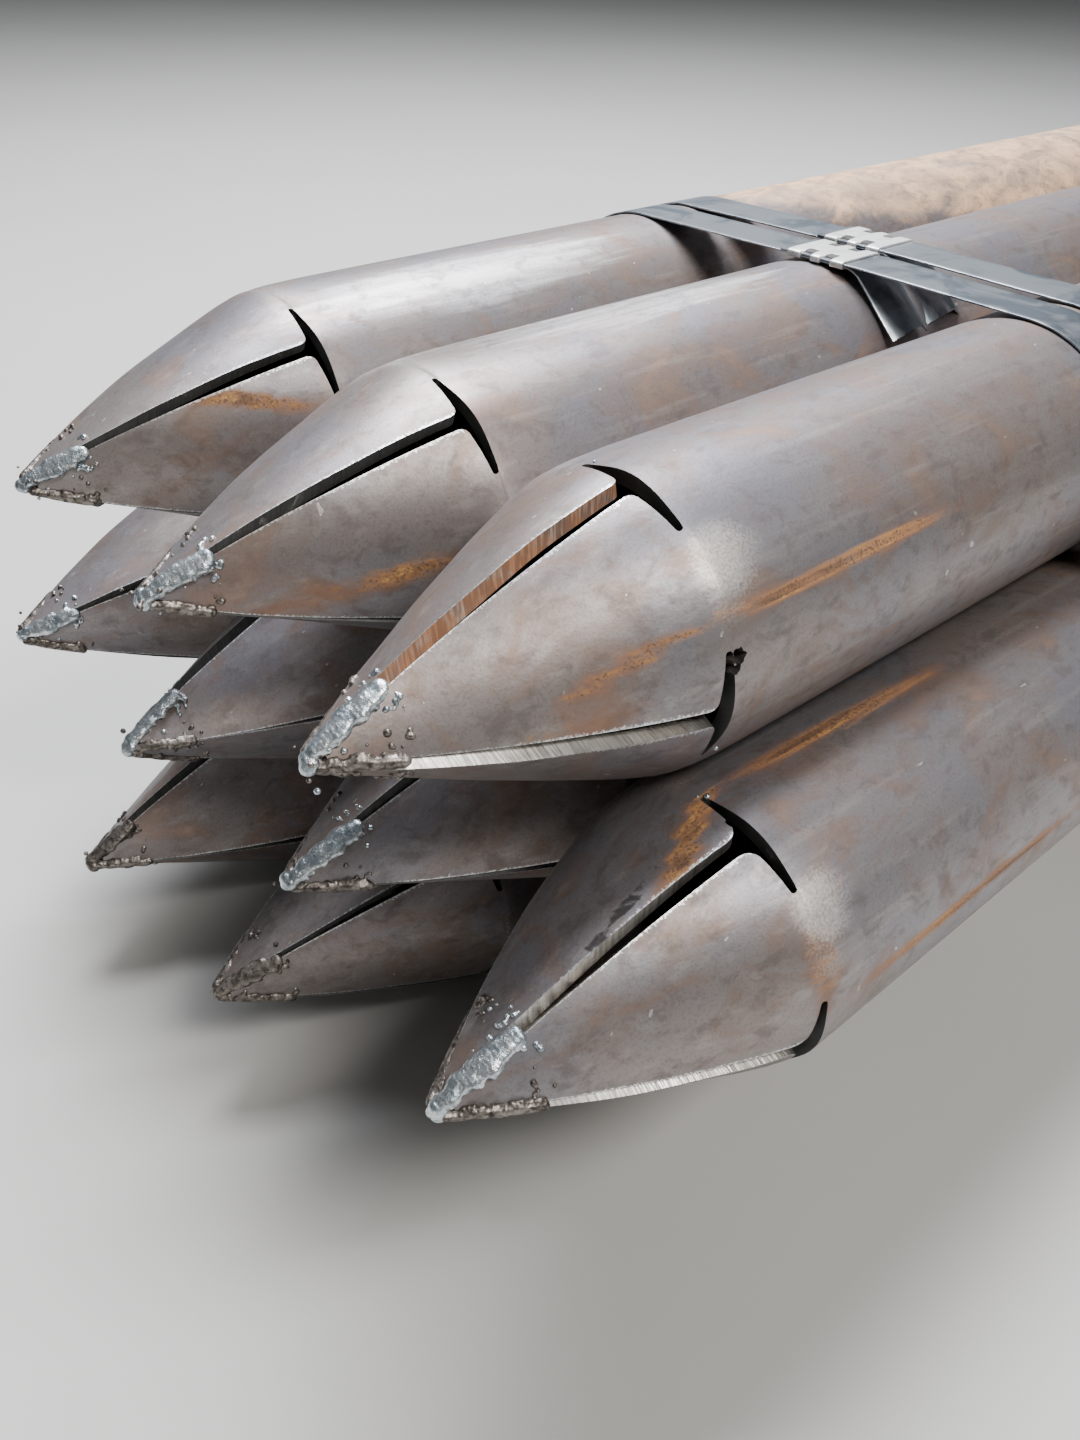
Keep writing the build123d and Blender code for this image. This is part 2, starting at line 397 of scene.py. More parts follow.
def add_object(name: str, data: bpy.types.ID) -> bpy.types.Object:
    """Add an object to the scene.

    Args:
        name: its name.
        data: its mesh, lamp or camera.

    Returns:
        The object.
    """
    thing = bpy.data.objects.new(name, data)
    bpy.context.scene.collection.objects.link(thing)
    return thing


def new_piece(name: str, mesh: bmesh.types.BMesh,
              *finishes: bpy.types.Material) -> bpy.types.Object:
    """Turn a mesh into a smooth-shaded object at the origin.

    Args:
        name: the object's name.
        mesh: the mesh, which is freed.
        finishes: its materials, in slot order.

    Returns:
        The object.
    """
    data = bpy.data.meshes.new(name)
    mesh.to_mesh(data)
    mesh.free()
    for finish in finishes:
        data.materials.append(finish)
    data.shade_smooth()
    return add_object(name, data)


def thicken(piece: bpy.types.Object, wall: float, side: int) -> bpy.types.SolidifyModifier:
    """Give an open sheet its thickness.

    Args:
        piece: the sheet.
        wall: the thickness, mm.
        side: where it goes: -1 inwards, 0 half inwards and half outwards.

    Returns:
        The modifier.
    """
    sheet = piece.modifiers.new("wall", "SOLIDIFY")
    sheet.thickness = wall * MM
    sheet.offset = side
    return sheet


def break_edges(piece: bpy.types.Object, width: float) -> bpy.types.BevelModifier:
    """Round the sharp edges of a piece.

    Args:
        piece: the piece.
        width: width of the rounding, mm.

    Returns:
        The modifier.
    """
    rounded = piece.modifiers.new("broken edges", "BEVEL")
    rounded.width = width * MM
    rounded.segments = ROUNDING_FACES
    rounded.limit_method = "ANGLE"
    rounded.angle_limit = math.radians(SHARP_ANGLE)
    return rounded


def face_outwards(mesh: bmesh.types.BMesh, outward: Callable[[Vector], Vector]) -> None:
    """Turn an open sheet so that its faces point outwards.

    Args:
        mesh: the sheet.
        outward: function that gives the outward direction at a point.
    """
    bmesh.ops.recalc_face_normals(mesh, faces=mesh.faces)
    lean = sum(face.normal.dot(outward(face.calc_center_median())) for face in mesh.faces)
    if lean < 0:
        bmesh.ops.reverse_faces(mesh, faces=mesh.faces)


@dataclass(frozen=True)
class Patch:
    """One soft patch of wear on a pipe; the pale ones also hold a painted highlight."""

    mark: Mark
    along: float                 # middle, from the pipe's tip, mm
    around: float                # middle, in degrees from -Y towards +Z
    length: float                # half length, mm
    width: float                 # half width, degrees
    strength: float = 1.0
    slant: float = 0.0           # degrees that it drifts in a millimetre

    def at(self, along: float, around: float) -> float:
        """Strength of the patch at a point, fading to 0 at its rim."""
        middle = self.around + self.slant * (along - self.along)
        turn = (around - middle + 180) % 360 - 180
        reach = ((along - self.along) / self.length) ** 2 + (turn / self.width) ** 2
        return self.strength * smooth_step(1, 0, reach)


@dataclass(frozen=True)
class Blemish:
    """Place and size of a torch hole or of a drop of metal on a pipe."""

    along: float                 # from the pipe's tip, mm
    around: float                # in degrees from -Y towards +Z
    radius: float                # mm


@dataclass
class PointedPipe:
    """One steel tube whose front is cut into four petals, bent in to a point."""

    node: str
    seam_angle: float            # first seam, in degrees from -Y towards +Z
    patches: tuple[Patch, ...] = ()
    # Marks of the petals' cut edges: number of the petal, its side as -1 or 1, and the mark. By
    # default two edges of each pipe are near black with painted shade.
    edges: tuple[tuple[int, int, Mark], ...] = ((0, -1, Mark.PAINTED_SHADE_EDGE), (2, 1, Mark.PAINTED_SHADE_EDGE))
    tears: tuple[Blemish, ...] = ()                      # holes that the torch blew
    burrs: tuple[Blemish, ...] = ()                      # drops of metal that it left
    lifts: tuple[float, ...] = (3.0, 1.0, -1.0, -2.0)    # how proud each petal stands, mm
    lift_power: float = 0.6      # below 1, so that a petal stands proud soon after its root
    gap: float = 6.0             # gap between two petals at their roots
    wall: float = 6.0
    point_length: float = 141.0
    tip_radius: float = 5.5
    slot_angle: float = 43.0
    slot_width: float = 2.8
    slot_opening: float = 5.5
    corner_radius: float = 3.5
    weld_length: float = 40.0    # from the tip to where the gap is at its narrowest
    weld_gap: float = 1.9        # gap there
    bead_length: float = 33.0    # length of the weld beads, from the tip
    brushed: bool = True         # whether the bead on the first seam was brushed bright
    bend: float = 9.0            # how softly the petals bend in at their roots
    sheet_end: float = 131.0     # where the petals disappear into the weld
    edge_round: float = 0.6

    wave_reach: float = 30.0     # from the slots to where the sheet's unevenness starts
    wave_height: float = 0.5     # that unevenness, mm
    wave_pace: tuple[float, float] = (0.035, 0.04)       # its waves in a millimetre and a degree
    heat_reach: tuple[float, float] = (78, 34)           # where heat tint starts and is whole
    rub_middle: float = 2.0      # the rubbed bend, behind the slots
    rub_reach: tuple[float, float] = (16, 2)             # from there, where it starts and is whole
    rub_width: float = 6.0       # from a petal's middle to where it starts to fade, degrees
    rub_strength: float = 0.5
    slot_margin: float = 1.0     # how far the slots' marks go past them
    slot_burr: float = 0.35      # strength of the burr in the slots
    tear_ragged: float = 0.35    # how uneven a torch hole is, as a share of its radius
    tear_lumps: float = 1.7      # how closely its lumps follow each other
    tear_depth: float = 3.0      # how deep it goes, by its radius

    streaks: int = 7             # long streaks of rust on the rest of the tube
    streak_middle: tuple[float, float] = (700, 2900)     # ranges of their sizes, as in a patch
    streak_length: tuple[float, float] = (110, 320)
    streak_width: tuple[float, float] = (4, 9)
    streak_strength: tuple[float, float] = (0.8, 1.0)

    fine: bool = False           # whether it lies at the front, close to the camera
    root_columns: int = 16
    slot_columns: int = 7
    slot_rows: int = 6           # rows of points across a slot
    corner_rows: tuple[tuple[int, float], ...] = ((6, 0.5), (8, 0.9))    # number and spacing
    petal_rows: int = 26
    bend_rows: tuple[float, ...] = (-10.0, -5.0, -2.0, 0.0)              # just behind the slots
    near_step: float = 9.0       # spacing of the rows near the point
    coarse_step: float = 20.0    # the same on a pipe that isn't fine
    near_length: float = 700.0
    far_rows: int = 16

    def __post_init__(self) -> None:
        """Take the pipe's place from the frame and scatter its streaks of rust."""
        low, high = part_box(self.node)
        self.tip = low.x / MM
        self.rear = high.x / MM
        self.axis = Vector((0, (low.y + high.y) / 2, (low.z + high.z) / 2)) / MM
        self.radius = (high.z - low.z) / MM / 2
        petal_length = self.point_length - self.tip_radius
        self.lean = (self.radius - self.tip_radius / 2) / petal_length
        self.root_half = QUARTER / 2 - self.slot_angle / 2
        self.seed = sum(ord(letter) for letter in self.node)
        chance = random.Random(self.seed)
        self.patches += tuple(
            Patch(Mark.RUST, chance.uniform(*self.streak_middle), chance.uniform(0, 360),
                  chance.uniform(*self.streak_length), chance.uniform(*self.streak_width),
                  chance.uniform(*self.streak_strength))
            for _ in range(self.streaks))

    def shift(self, ahead: float) -> float:
        """How far the petals have bent in, at a distance ahead of the slots."""
        return self.lean * (ahead + math.hypot(ahead, self.bend)) / 2

    def edge_distance(self, ahead: float) -> float:
        """Half of the gap between two petals, at a distance ahead of the slots.

        Args:
            ahead: distance ahead of the slots, mm.

        Returns:
            Distance from the seam's middle to the petal's edge, mm.
        """
        reach = self.radius * math.sin(math.radians(self.slot_angle / 2))
        if ahead <= self.slot_width:
            return reach + math.sqrt(max(ahead * (self.slot_width - ahead), 0))
        slope = (self.slot_opening - self.slot_width) / reach
        half = self.gap / 2
        seam_end = self.point_length - self.weld_length
        taper = min(ahead / seam_end, 1)
        side = half + (self.weld_gap / 2 - half) * taper
        middle = half + self.corner_radius
        start = self.slot_opening - slope * middle + self.corner_radius * math.hypot(1, slope)
        if ahead >= start:
            return max(side, 0)
        tangent = math.atan(slope)
        turned = math.asin(min((start - ahead) / self.corner_radius, 1))
        if turned <= math.pi / 2 - tangent:
            return middle - self.corner_radius * math.cos(turned)
        return min((self.slot_opening - ahead) / slope, reach)

    def petal_half(self, ahead: float) -> float:
        """Half of the petal's arc in degrees, at a distance ahead of the slots."""
        half_turn = math.radians(QUARTER / 2)
        reach = self.shift(ahead) * math.sin(half_turn) + self.edge_distance(ahead)
        return math.degrees(math.acos(min(reach / self.radius, 1)) - half_turn)

    def quarter_columns(self) -> int:
        """Number of columns that one petal takes up round the pipe."""
        return self.root_columns + 2 * self.slot_columns

    def split(self, column: float) -> tuple[int, float]:
        """Split a column into its petal and its place on it.

        Args:
            column: number of the column, counted round the pipe.

        Returns:
            The petal's number and the number of columns from the petal's middle.
        """
        petal, inside = divmod(column, self.quarter_columns())
        return int(petal), inside - self.quarter_columns() / 2

    def column_angle(self, column: float) -> tuple[int, float]:
        """Split a column into its petal and its angle from the petal's middle.

        Args:
            column: number of the column, counted round the pipe.

        Returns:
            The petal's number and the angle, in degrees.
        """
        petal, side = self.split(column)
        edge = self.root_columns / 2
        angle = self.root_half * min(abs(side), edge) / edge
        if abs(side) > edge:
            angle += self.slot_angle / 2 * (abs(side) - edge) / self.slot_columns
        return petal, math.copysign(angle, side)

    def direction(self, angle: float) -> Vector:
        """Unit vector across the pipe at an angle from -Y towards +Z."""
        return Vector((0, -math.cos(math.radians(angle)), math.sin(math.radians(angle))))

    def point(self, column: float, ahead: float) -> tuple[Vector, float]:
        """Place of one point of the tube's outer surface.

        Args:
            column: number of the column, counted round the pipe.
            ahead: distance ahead of the slots, mm; negative on the plain tube.

        Returns:
            The point in millimetres and its angle round the pipe.
        """
        petal, angle = self.column_angle(column)
        if ahead > 0:
            angle *= self.petal_half(ahead) / self.root_half
        return self.surface(petal, angle, ahead)

    def surface(self, petal: int, angle: float, ahead: float) -> tuple[Vector, float]:
        """Place of a point on the outer surface of a petal or of the tube behind it.

        Args:
            petal: number of the petal.
            angle: angle from the petal's middle, degrees.
            ahead: distance ahead of the slots, mm; negative on the plain tube.

        Returns:
            The point in millimetres and its angle round the pipe.
        """
        middle = self.seam_angle + (petal + 0.5) * QUARTER
        outwards = self.direction(middle)
        sunk = self.shift(ahead)
        if ahead <= 0:
            sunk *= smooth_step(QUARTER / 2, self.root_half, abs(angle))
        around = middle + angle
        slots = self.tip + self.point_length
        spot = Vector((slots - ahead, 0, 0)) + self.axis
        spot += self.radius * self.direction(around) - sunk * outwards
        if ahead > -self.wave_reach:
            lengthwise, crosswise = self.wave_pace
            wave = noise.noise(Vector((ahead * lengthwise, around * crosswise, self.seed)))
            rise = smooth_step(-self.wave_reach, self.wave_reach, ahead)
            spot += outwards * wave * self.wave_height * rise
        if ahead > 0:
            share = min(ahead / self.sheet_end, 1)
            lift = self.lifts[petal % PETALS]
            spot += outwards * lift * math.sin(math.pi * share) ** self.lift_power
        return spot, around % 360

    def lay(self, points: list, column_layer: bmesh.types.BMLayerItem, ahead: float,
            layers: dict) -> None:
        """Put a new row of points in its place and paint its marks.

        Args:
            points: the row's points.
            column_layer: layer that holds each point's column.
            ahead: distance ahead of the slots, mm.
            layers: mark layers by mark.
        """
        for point in points:
            spot, around = self.point(point[column_layer], ahead)
            point.co = spot * MM
            for mark, layer in layers.items():
                if mark in EDGE_MARKS:
                    point[layer] = self.on_edge(mark, point[column_layer], ahead)
                else:
                    point[layer] = self.painted(mark, self.point_length - ahead, around)

    def on_edge(self, mark: Mark, column: float, ahead: float) -> float:
        """Strength of a mark that only the cut edges have.

        Args:
            mark: the mark.
            column: number of the point's column.
            ahead: distance ahead of the slots, mm.

        Returns:
            The strength, 0 away from the edges.
        """
        petal, side = self.split(column)
        if ahead < 0 or abs(side) < self.root_columns / 2:
            return 0.0
        in_slot = ahead < self.slot_opening + self.slot_margin
        if mark is Mark.BURR:
            return self.slot_burr if in_slot else 1.0
        # Painted shade: the cut walls inside the slots are near black.
        if mark is Mark.PAINTED_SHADE_EDGE and in_slot:
            return 1.0
        return float((petal, int(math.copysign(1, side)), mark) in self.edges)

    def painted(self, mark: Mark, along: float, around: float) -> float:
        """Strength of one mark at a point of the outer surface.

        Args:
            mark: the mark.
            along: distance from the pipe's tip, mm.
            around: angle round the pipe, from -Y towards +Z.

        Returns:
            The strength, from 0 to 1.
        """
        found = [patch.at(along, around) for patch in self.patches if patch.mark is mark]
        if mark is Mark.HEAT:
            found.append(smooth_step(*self.heat_reach, along))
        if mark is Mark.POLISH:
            bend = abs(along - self.point_length - self.rub_middle)
            turn = abs((around - self.seam_angle) % QUARTER - QUARTER / 2)
            found.append(self.rub_strength * smooth_step(*self.rub_reach, bend)
                         * smooth_step(self.root_half, self.rub_width, turn))
        return min(sum(found), 1.0)

    def rows_behind(self) -> list[float]:
        """Distances ahead of the slots, none above 0, where the tube gets a row of points.

        Returns:
            The distances, from the rear end to the slots.
        """
        length = self.rear - self.tip - self.point_length
        pace = self.near_step if self.fine else self.coarse_step
        far = [-length + (length - self.near_length) * step / self.far_rows
               for step in range(self.far_rows)]
        near = [pace * step - self.near_length for step in range(int(self.near_length / pace) - 1)]
        return [*far, *near, *self.bend_rows]

    def rows_ahead(self) -> list[float]:
        """Distances ahead of the slots where the petals get a row of points.

        Returns:
            The distances, from the slots to the weld.
        """
        rows = [self.slot_width * (1 - math.cos(math.pi * step / self.slot_rows)) / 2
                for step in range(self.slot_rows + 1)]
        for count, pitch in self.corner_rows:
            rows += [rows[-1] + step * pitch for step in range(1, count + 1)]
        rows = [row for row in rows if row <= self.slot_opening + self.corner_radius]
        start = rows[-1]
        rows += [start + (self.sheet_end - start) * step / self.petal_rows
                 for step in range(1, self.petal_rows + 1)]
        return rows[1:]

    def build(self, outside: bpy.types.Material, bore: bpy.types.Material,
              cut: bpy.types.Material) -> bpy.types.Object:
        """Roll the sheet, bend the petals and give them the wall's thickness.

        Args:
            outside: finish of the outer surface.
            bore: finish of the inner surface.
            cut: finish of the cut edges.

        Returns:
            The pipe.
        """
        mesh = bmesh.new()
        column = mesh.verts.layers.float.new("column")
        layers = {mark: mesh.verts.layers.float.new(mark.value) for mark in Mark}
        count = self.quarter_columns() * PETALS
        bmesh.ops.create_circle(mesh, segments=count, radius=1)
        for point in mesh.verts:
            turn = math.atan2(point.co.y, point.co.x) / math.tau * count
            point[column] = round(turn) % count
        edges = list(mesh.edges)
        rows = self.rows_behind()
        self.lay(list(mesh.verts), column, rows[0], layers)
        for ahead in rows[1:]:
            points, edges = extrude_row(mesh, edges)
            self.lay(points, column, ahead, layers)
        edges = [edge for edge in edges if self.in_root(edge, column)]
        for ahead in self.rows_ahead():
            points, edges = extrude_row(mesh, edges)
            self.lay(points, column, ahead, layers)
        face_outwards(mesh, lambda spot: spot / MM - self.axis - Vector((spot.x / MM, 0, 0)))
        pipe = new_piece(self.node + "_steel", mesh, outside, bore, cut)
        wall = thicken(pipe, self.wall, -1)
        wall.use_even_offset = True
        wall.material_offset = BORE_SLOT
        wall.material_offset_rim = CUT_SLOT
        for hole in self.tears:
            self.tear(pipe, hole, bore)
        rounded = break_edges(pipe, self.edge_round)
        rounded.harden_normals = True
        rounded.material = CUT_SLOT
        return pipe

    def surface_spot(self, blemish: Blemish) -> Vector:
        """Point of the outer surface, in millimetres, where a hole or a drop is."""
        petal, inside = divmod((blemish.around - self.seam_angle) % 360, QUARTER)
        return self.surface(int(petal), inside - QUARTER / 2, self.point_length - blemish.along)[0]

    def tear(self, pipe: bpy.types.Object, hole: Blemish, burnt: bpy.types.Material) -> None:
        """Blow a ragged hole through the wall and keep the result as the pipe's mesh.

        Args:
            pipe: the pipe, with its wall's modifier.
            hole: place and size of the hole.
            burnt: finish of the hole's edge.
        """
        spot = self.surface_spot(hole)
        mesh = bmesh.new()
        bmesh.ops.create_icosphere(mesh, subdivisions=3, radius=1)
        for point in mesh.verts:
            point.co *= 1 + self.tear_ragged * noise.noise(point.co * self.tear_lumps + spot)
        outwards = (spot - self.axis) * Vector((0, 1, 1))
        frame = outwards.to_track_quat("Z", "Y").to_matrix().to_4x4()
        across, deep = hole.radius * MM, self.tear_depth * hole.radius * MM
        place = Matrix.Translation(spot * MM) @ frame @ Matrix.Diagonal((across, across, deep, 1))
        bmesh.ops.transform(mesh, verts=mesh.verts, matrix=place)
        cutter = new_piece("torch", mesh, burnt)
        cut = pipe.modifiers.new("hole", "BOOLEAN")
        cut.operation = "DIFFERENCE"
        cut.object = cutter
        graph = bpy.context.evaluated_depsgraph_get()
        torn = bpy.data.meshes.new_from_object(pipe.evaluated_get(graph), depsgraph=graph)
        pipe.modifiers.clear()
        pipe.data = torn
        bpy.data.objects.remove(cutter)

    def in_root(self, edge: bmesh.types.BMEdge, column_layer: bmesh.types.BMLayerItem) -> bool:
        """Whether an edge of the last full ring is at the root of a petal."""
        angles = [abs(self.column_angle(point[column_layer])[1]) for point in edge.verts]
        return max(angles) <= self.root_half + ANGLE_SLACK


@dataclass(frozen=True)
class Wave:
    """A slow unevenness along a weld bead, the same in every run."""

    pace: float                  # how far it moves on from one ripple to the next
    apart: float                 # how far apart it is on two seams
    start: float = 0.0
    layer: int = 0               # another number gives another pattern

    def at(self, step: int, seam: int, seed: int) -> float:
        """Height of the wave at one ripple of a seam, from -1 to 1."""
        place = (step * self.pace, self.start + seam * self.apart, seed + self.layer)
        return noise.noise(Vector(place))


@dataclass
class PointWeld:
    """Weld that closes one pipe's point: a flat rippled bead on each seam and a blunt tip."""

    pipe: PointedPipe
    half_widths: tuple[float, ...] = (4.4, 2.8, 2.6, 2.3)     # one for each seam, mm
    height: float = 2.2          # half the height of a bead
    sunk: float = 0.45           # how deep its middle lies under the ridge, as a share of that
    end_share: float = 0.75      # its width at its ends, as a share of the whole width
    belly: float = 0.4           # what the width gains towards its middle, as a share
    belly_shift: float = 0.1     # how far that lies from the middle, as a share of the length
    unevenness: float = 0.25     # how much width and height vary, as a share
    width_wave: Wave = Wave(0.31, 7.3)
    height_wave: Wave = Wave(0.4, 1.0, layer=5)
    wander: float = 1.4          # how far it strays from its seam
    wander_wave: Wave = Wave(0.3, 0.0, start=3.1)
    length_spread: float = 4.0   # how far the length varies from seam to seam
    tip_margin: float = 5.0      # from the tip to the last ripple
    slope_reach: float = 20.0    # length over which the seam's slope is taken
    ripple: float = 1.5          # spacing of its ripples
    ripple_length: tuple[float, float] = (2.0, 3.8)           # range of their half lengths
    tooth_place: tuple[float, float] = (0.65, 0.9)            # side lumps, as shares of the width
    tooth_size: tuple[float, float] = (0.7, 1.7)
    tooth_sunk: float = 0.5      # how deep they lie, as a share of the height
    tip_lumps: int = 6
    tip_spread: tuple[float, ...] = (1, 2, 2)                 # along X, Y and Z
    tip_size: tuple[float, float] = (2.2, 3.6)
    drops: int = 18              # balls of spatter beside the start of each bead
    far_drops: int = 4           # how many of them flew further
    drop_behind: float = 5.0     # how far they lie behind that start
    drop_ahead: tuple[float, float] = (3, 30)                 # and ahead of it, near and far ones
    drop_petals: tuple[int, ...] = (0, 1, 1)                  # the petal before gets twice as many
    drop_least: float = 2.0      # how far from the petal's edge they lie at least
    drop_usual: float = 3.0
    drop_most: tuple[float, float] = (9, 14)                  # near and far ones
    drop_size: tuple[float, float] = (0.6, 1.6)
    voxel: float = 0.5           # cell size of the melted metal
    coarse_voxel: float = 0.7    # the same on a pipe that isn't fine
    soft_factor: float = 0.5     # how much each round of smoothing does
    soft_rounds: int = 2

    def seam_radius(self, ahead: float) -> float:
        """Distance of the seam's ridge from the pipe's axis."""
        pipe = self.pipe
        half_turn = math.radians(QUARTER / 2)
        shift = pipe.shift(ahead)
        inside = max(pipe.radius ** 2 - (shift * math.sin(half_turn)) ** 2, 0)
        return max(math.sqrt(inside) - shift * math.cos(half_turn), 0)

    def on_seam(self, angle: float, ahead: float, sunk: float) -> Vector:
        """Point on or under a seam's ridge, in millimetres."""
        pipe = self.pipe
        along = Vector((pipe.tip + pipe.point_length - ahead, 0, 0))
        return along + pipe.axis + pipe.direction(angle) * (self.seam_radius(ahead) - sunk)

    def build(self, bright: bpy.types.Material,
              dark: bpy.types.Material) -> list[bpy.types.Object]:
        """Lay the beads and melt them together.

        Args:
            bright: finish of the bead on the first seam.
            dark: finish of the other beads.

        Returns:
            The first bead with the blunt tip, and the other beads.
        """
        pipe = self.pipe
        chance = random.Random(pipe.seed)
        top, rest = bmesh.new(), bmesh.new()
        for seam, half_width in enumerate(self.half_widths):
            laid = self.bead(seam, half_width, chance)
            (rest if seam else top).from_mesh(laid)
            bpy.data.meshes.remove(laid)
        tip = Vector((pipe.tip + pipe.tip_radius, 0, 0)) + pipe.axis
        for _ in range(self.tip_lumps):
            aside = Vector([chance.uniform(-reach, reach) for reach in self.tip_spread])
            self.ball(top, tip + aside, chance.uniform(*self.tip_size), Matrix())
        for drop in pipe.burrs:
            self.ball(top, pipe.surface_spot(drop), drop.radius, Matrix())
        pieces = []
        for name, mesh, finish in (("weld", top, bright), ("root_weld", rest, dark)):
            piece = new_piece(f"{pipe.node}_{name}", mesh, finish)
            melt = piece.modifiers.new("melt", "REMESH")
            melt.mode = "VOXEL"
            melt.voxel_size = (self.voxel if pipe.fine else self.coarse_voxel) * MM
            melt.use_smooth_shade = True
            soft = piece.modifiers.new("soften", "SMOOTH")
            soft.factor = self.soft_factor
            soft.iterations = self.soft_rounds
            pieces.append(piece)
        return pieces

    def outline(self, share: float) -> float:
        """Width of a bead at a share of its length, as a share of the whole width."""
        return self.end_share + self.belly * math.sin(math.pi * min(share + self.belly_shift, 1))

    def bead(self, seam: int, half_width: float, chance: random.Random) -> bpy.types.Mesh:
        """Lay one bead from the end of its seam's gap to the tip, with its spatter.

        Args:
            seam: number of the seam.
            half_width: half the bead's width, mm.
            chance: source of its unevenness.

        Returns:
            The bead as loose drops.
        """
        pipe = self.pipe
        mesh = bmesh.new()
        angle = pipe.seam_angle + seam * QUARTER
        spread = self.length_spread
        length = pipe.bead_length + (chance.uniform(-spread, spread) if seam else 0)
        first = pipe.point_length - length
        count = int((length - self.tip_margin) / self.ripple)
        run = self.on_seam(angle, first + self.slope_reach, 0) - self.on_seam(angle, first, 0)
        slope = run.normalized()
        aside = slope.cross(pipe.direction(angle)).normalized()
        frame = Matrix((slope, aside, aside.cross(slope))).transposed().to_4x4()
        for step in range(count):
            uneven = 1 + self.unevenness * self.width_wave.at(step, seam, pipe.seed)
            width = half_width * self.outline(step / count) * uneven
            swell = self.height * (1 + self.unevenness * self.height_wave.at(step, seam, pipe.seed))
            sway = aside * (self.wander_wave.at(step, seam, pipe.seed) * self.wander)
            spot = self.on_seam(angle, first + step * self.ripple, swell * self.sunk) + sway
            size = Vector((chance.uniform(*self.ripple_length), width, swell))
            self.lump(mesh, spot, size, frame)
            for side in (-1, 1):
                tooth = spot + aside * side * width * chance.uniform(*self.tooth_place)
                tooth -= frame.to_3x3() @ Vector((0, 0, swell * self.tooth_sunk))
                self.ball(mesh, tooth, chance.uniform(*self.tooth_size), frame, 1)
        self.spatter(mesh, seam, first, frame, chance)
        laid = bpy.data.meshes.new("bead")
        mesh.to_mesh(laid)
        mesh.free()
        return laid

    def spatter(self, mesh: bmesh.types.BMesh, seam: int, first: float, frame: Matrix,
                chance: random.Random) -> None:
        """Scatter drops of metal on the petals beside a bead.

        Args:
            mesh: the mesh that takes them.
            seam: number of the seam.
            first: where the bead starts, ahead of the slots, mm.
            frame: turn from the bead's directions to the part's.
            chance: source of their places.
        """
        pipe = self.pipe
        for number in range(self.drops):
            far = number >= self.drops - self.far_drops
            ahead = first + chance.uniform(-self.drop_behind, self.drop_ahead[far])
            petal = (seam - chance.choice(self.drop_petals)) % PETALS
            side = -1 if petal == seam else 1
            inwards = chance.triangular(self.drop_least, self.drop_most[far], self.drop_usual)
            spot, _ = pipe.surface(petal, side * (pipe.petal_half(ahead) - inwards), ahead)
            self.ball(mesh, spot, chance.uniform(*self.drop_size), frame)

    def ball(self, mesh: bmesh.types.BMesh, spot: Vector, radius: float, frame: Matrix,
             detail: int = 2) -> None:
        """Add one round drop of weld metal; the values are those of `lump`."""
        self.lump(mesh, spot, Vector((radius, radius, radius)), frame, detail)

    def lump(self, mesh: bmesh.types.BMesh, spot: Vector, size: Vector, frame: Matrix,
             detail: int = 2) -> None:
        """Add one drop of weld metal.

        Args:
            mesh: the mesh that takes it.
            spot: its middle, mm.
            size: its half lengths along the bead, across it and upwards, mm.
            frame: turn from those directions to the part's.
            detail: how finely it is divided.
        """
        place = Matrix.Translation(spot * MM) @ frame @ Matrix.Diagonal((*(size * MM), 1))
        bmesh.ops.create_icosphere(mesh, subdivisions=detail, radius=1, matrix=place)


def rounded_path(corners: list, radii: list, step: float) -> list[Vector]:
    """Points of a path of straight runs joined by tangent arcs.

    Args:
        corners: the path's corners, its two ends among them.
        radii: radius of the arc at each inner corner.
        step: turn between two points of an arc, in degrees.

    Returns:
        The points.
    """
    points = [corners[0]]
    for before, corner, after, radius in zip(corners, corners[1:], corners[2:], radii):
        into = (corner - before).normalized()
        away = (after - corner).normalized()
        turn = into.angle(away)
        cut = radius * math.tan(turn / 2)
        start = corner - into * cut
        middle = corner + (away - into).normalized() * math.hypot(radius, cut)
        hinge = into.cross(away)
        count = max(2, round(math.degrees(turn) / step))
        for number in range(count + 1):
            swing = Matrix.Rotation(turn * number / count, 3, hinge)
            points.append(middle + swing @ (start - middle))
    points.append(corners[-1])
    return points


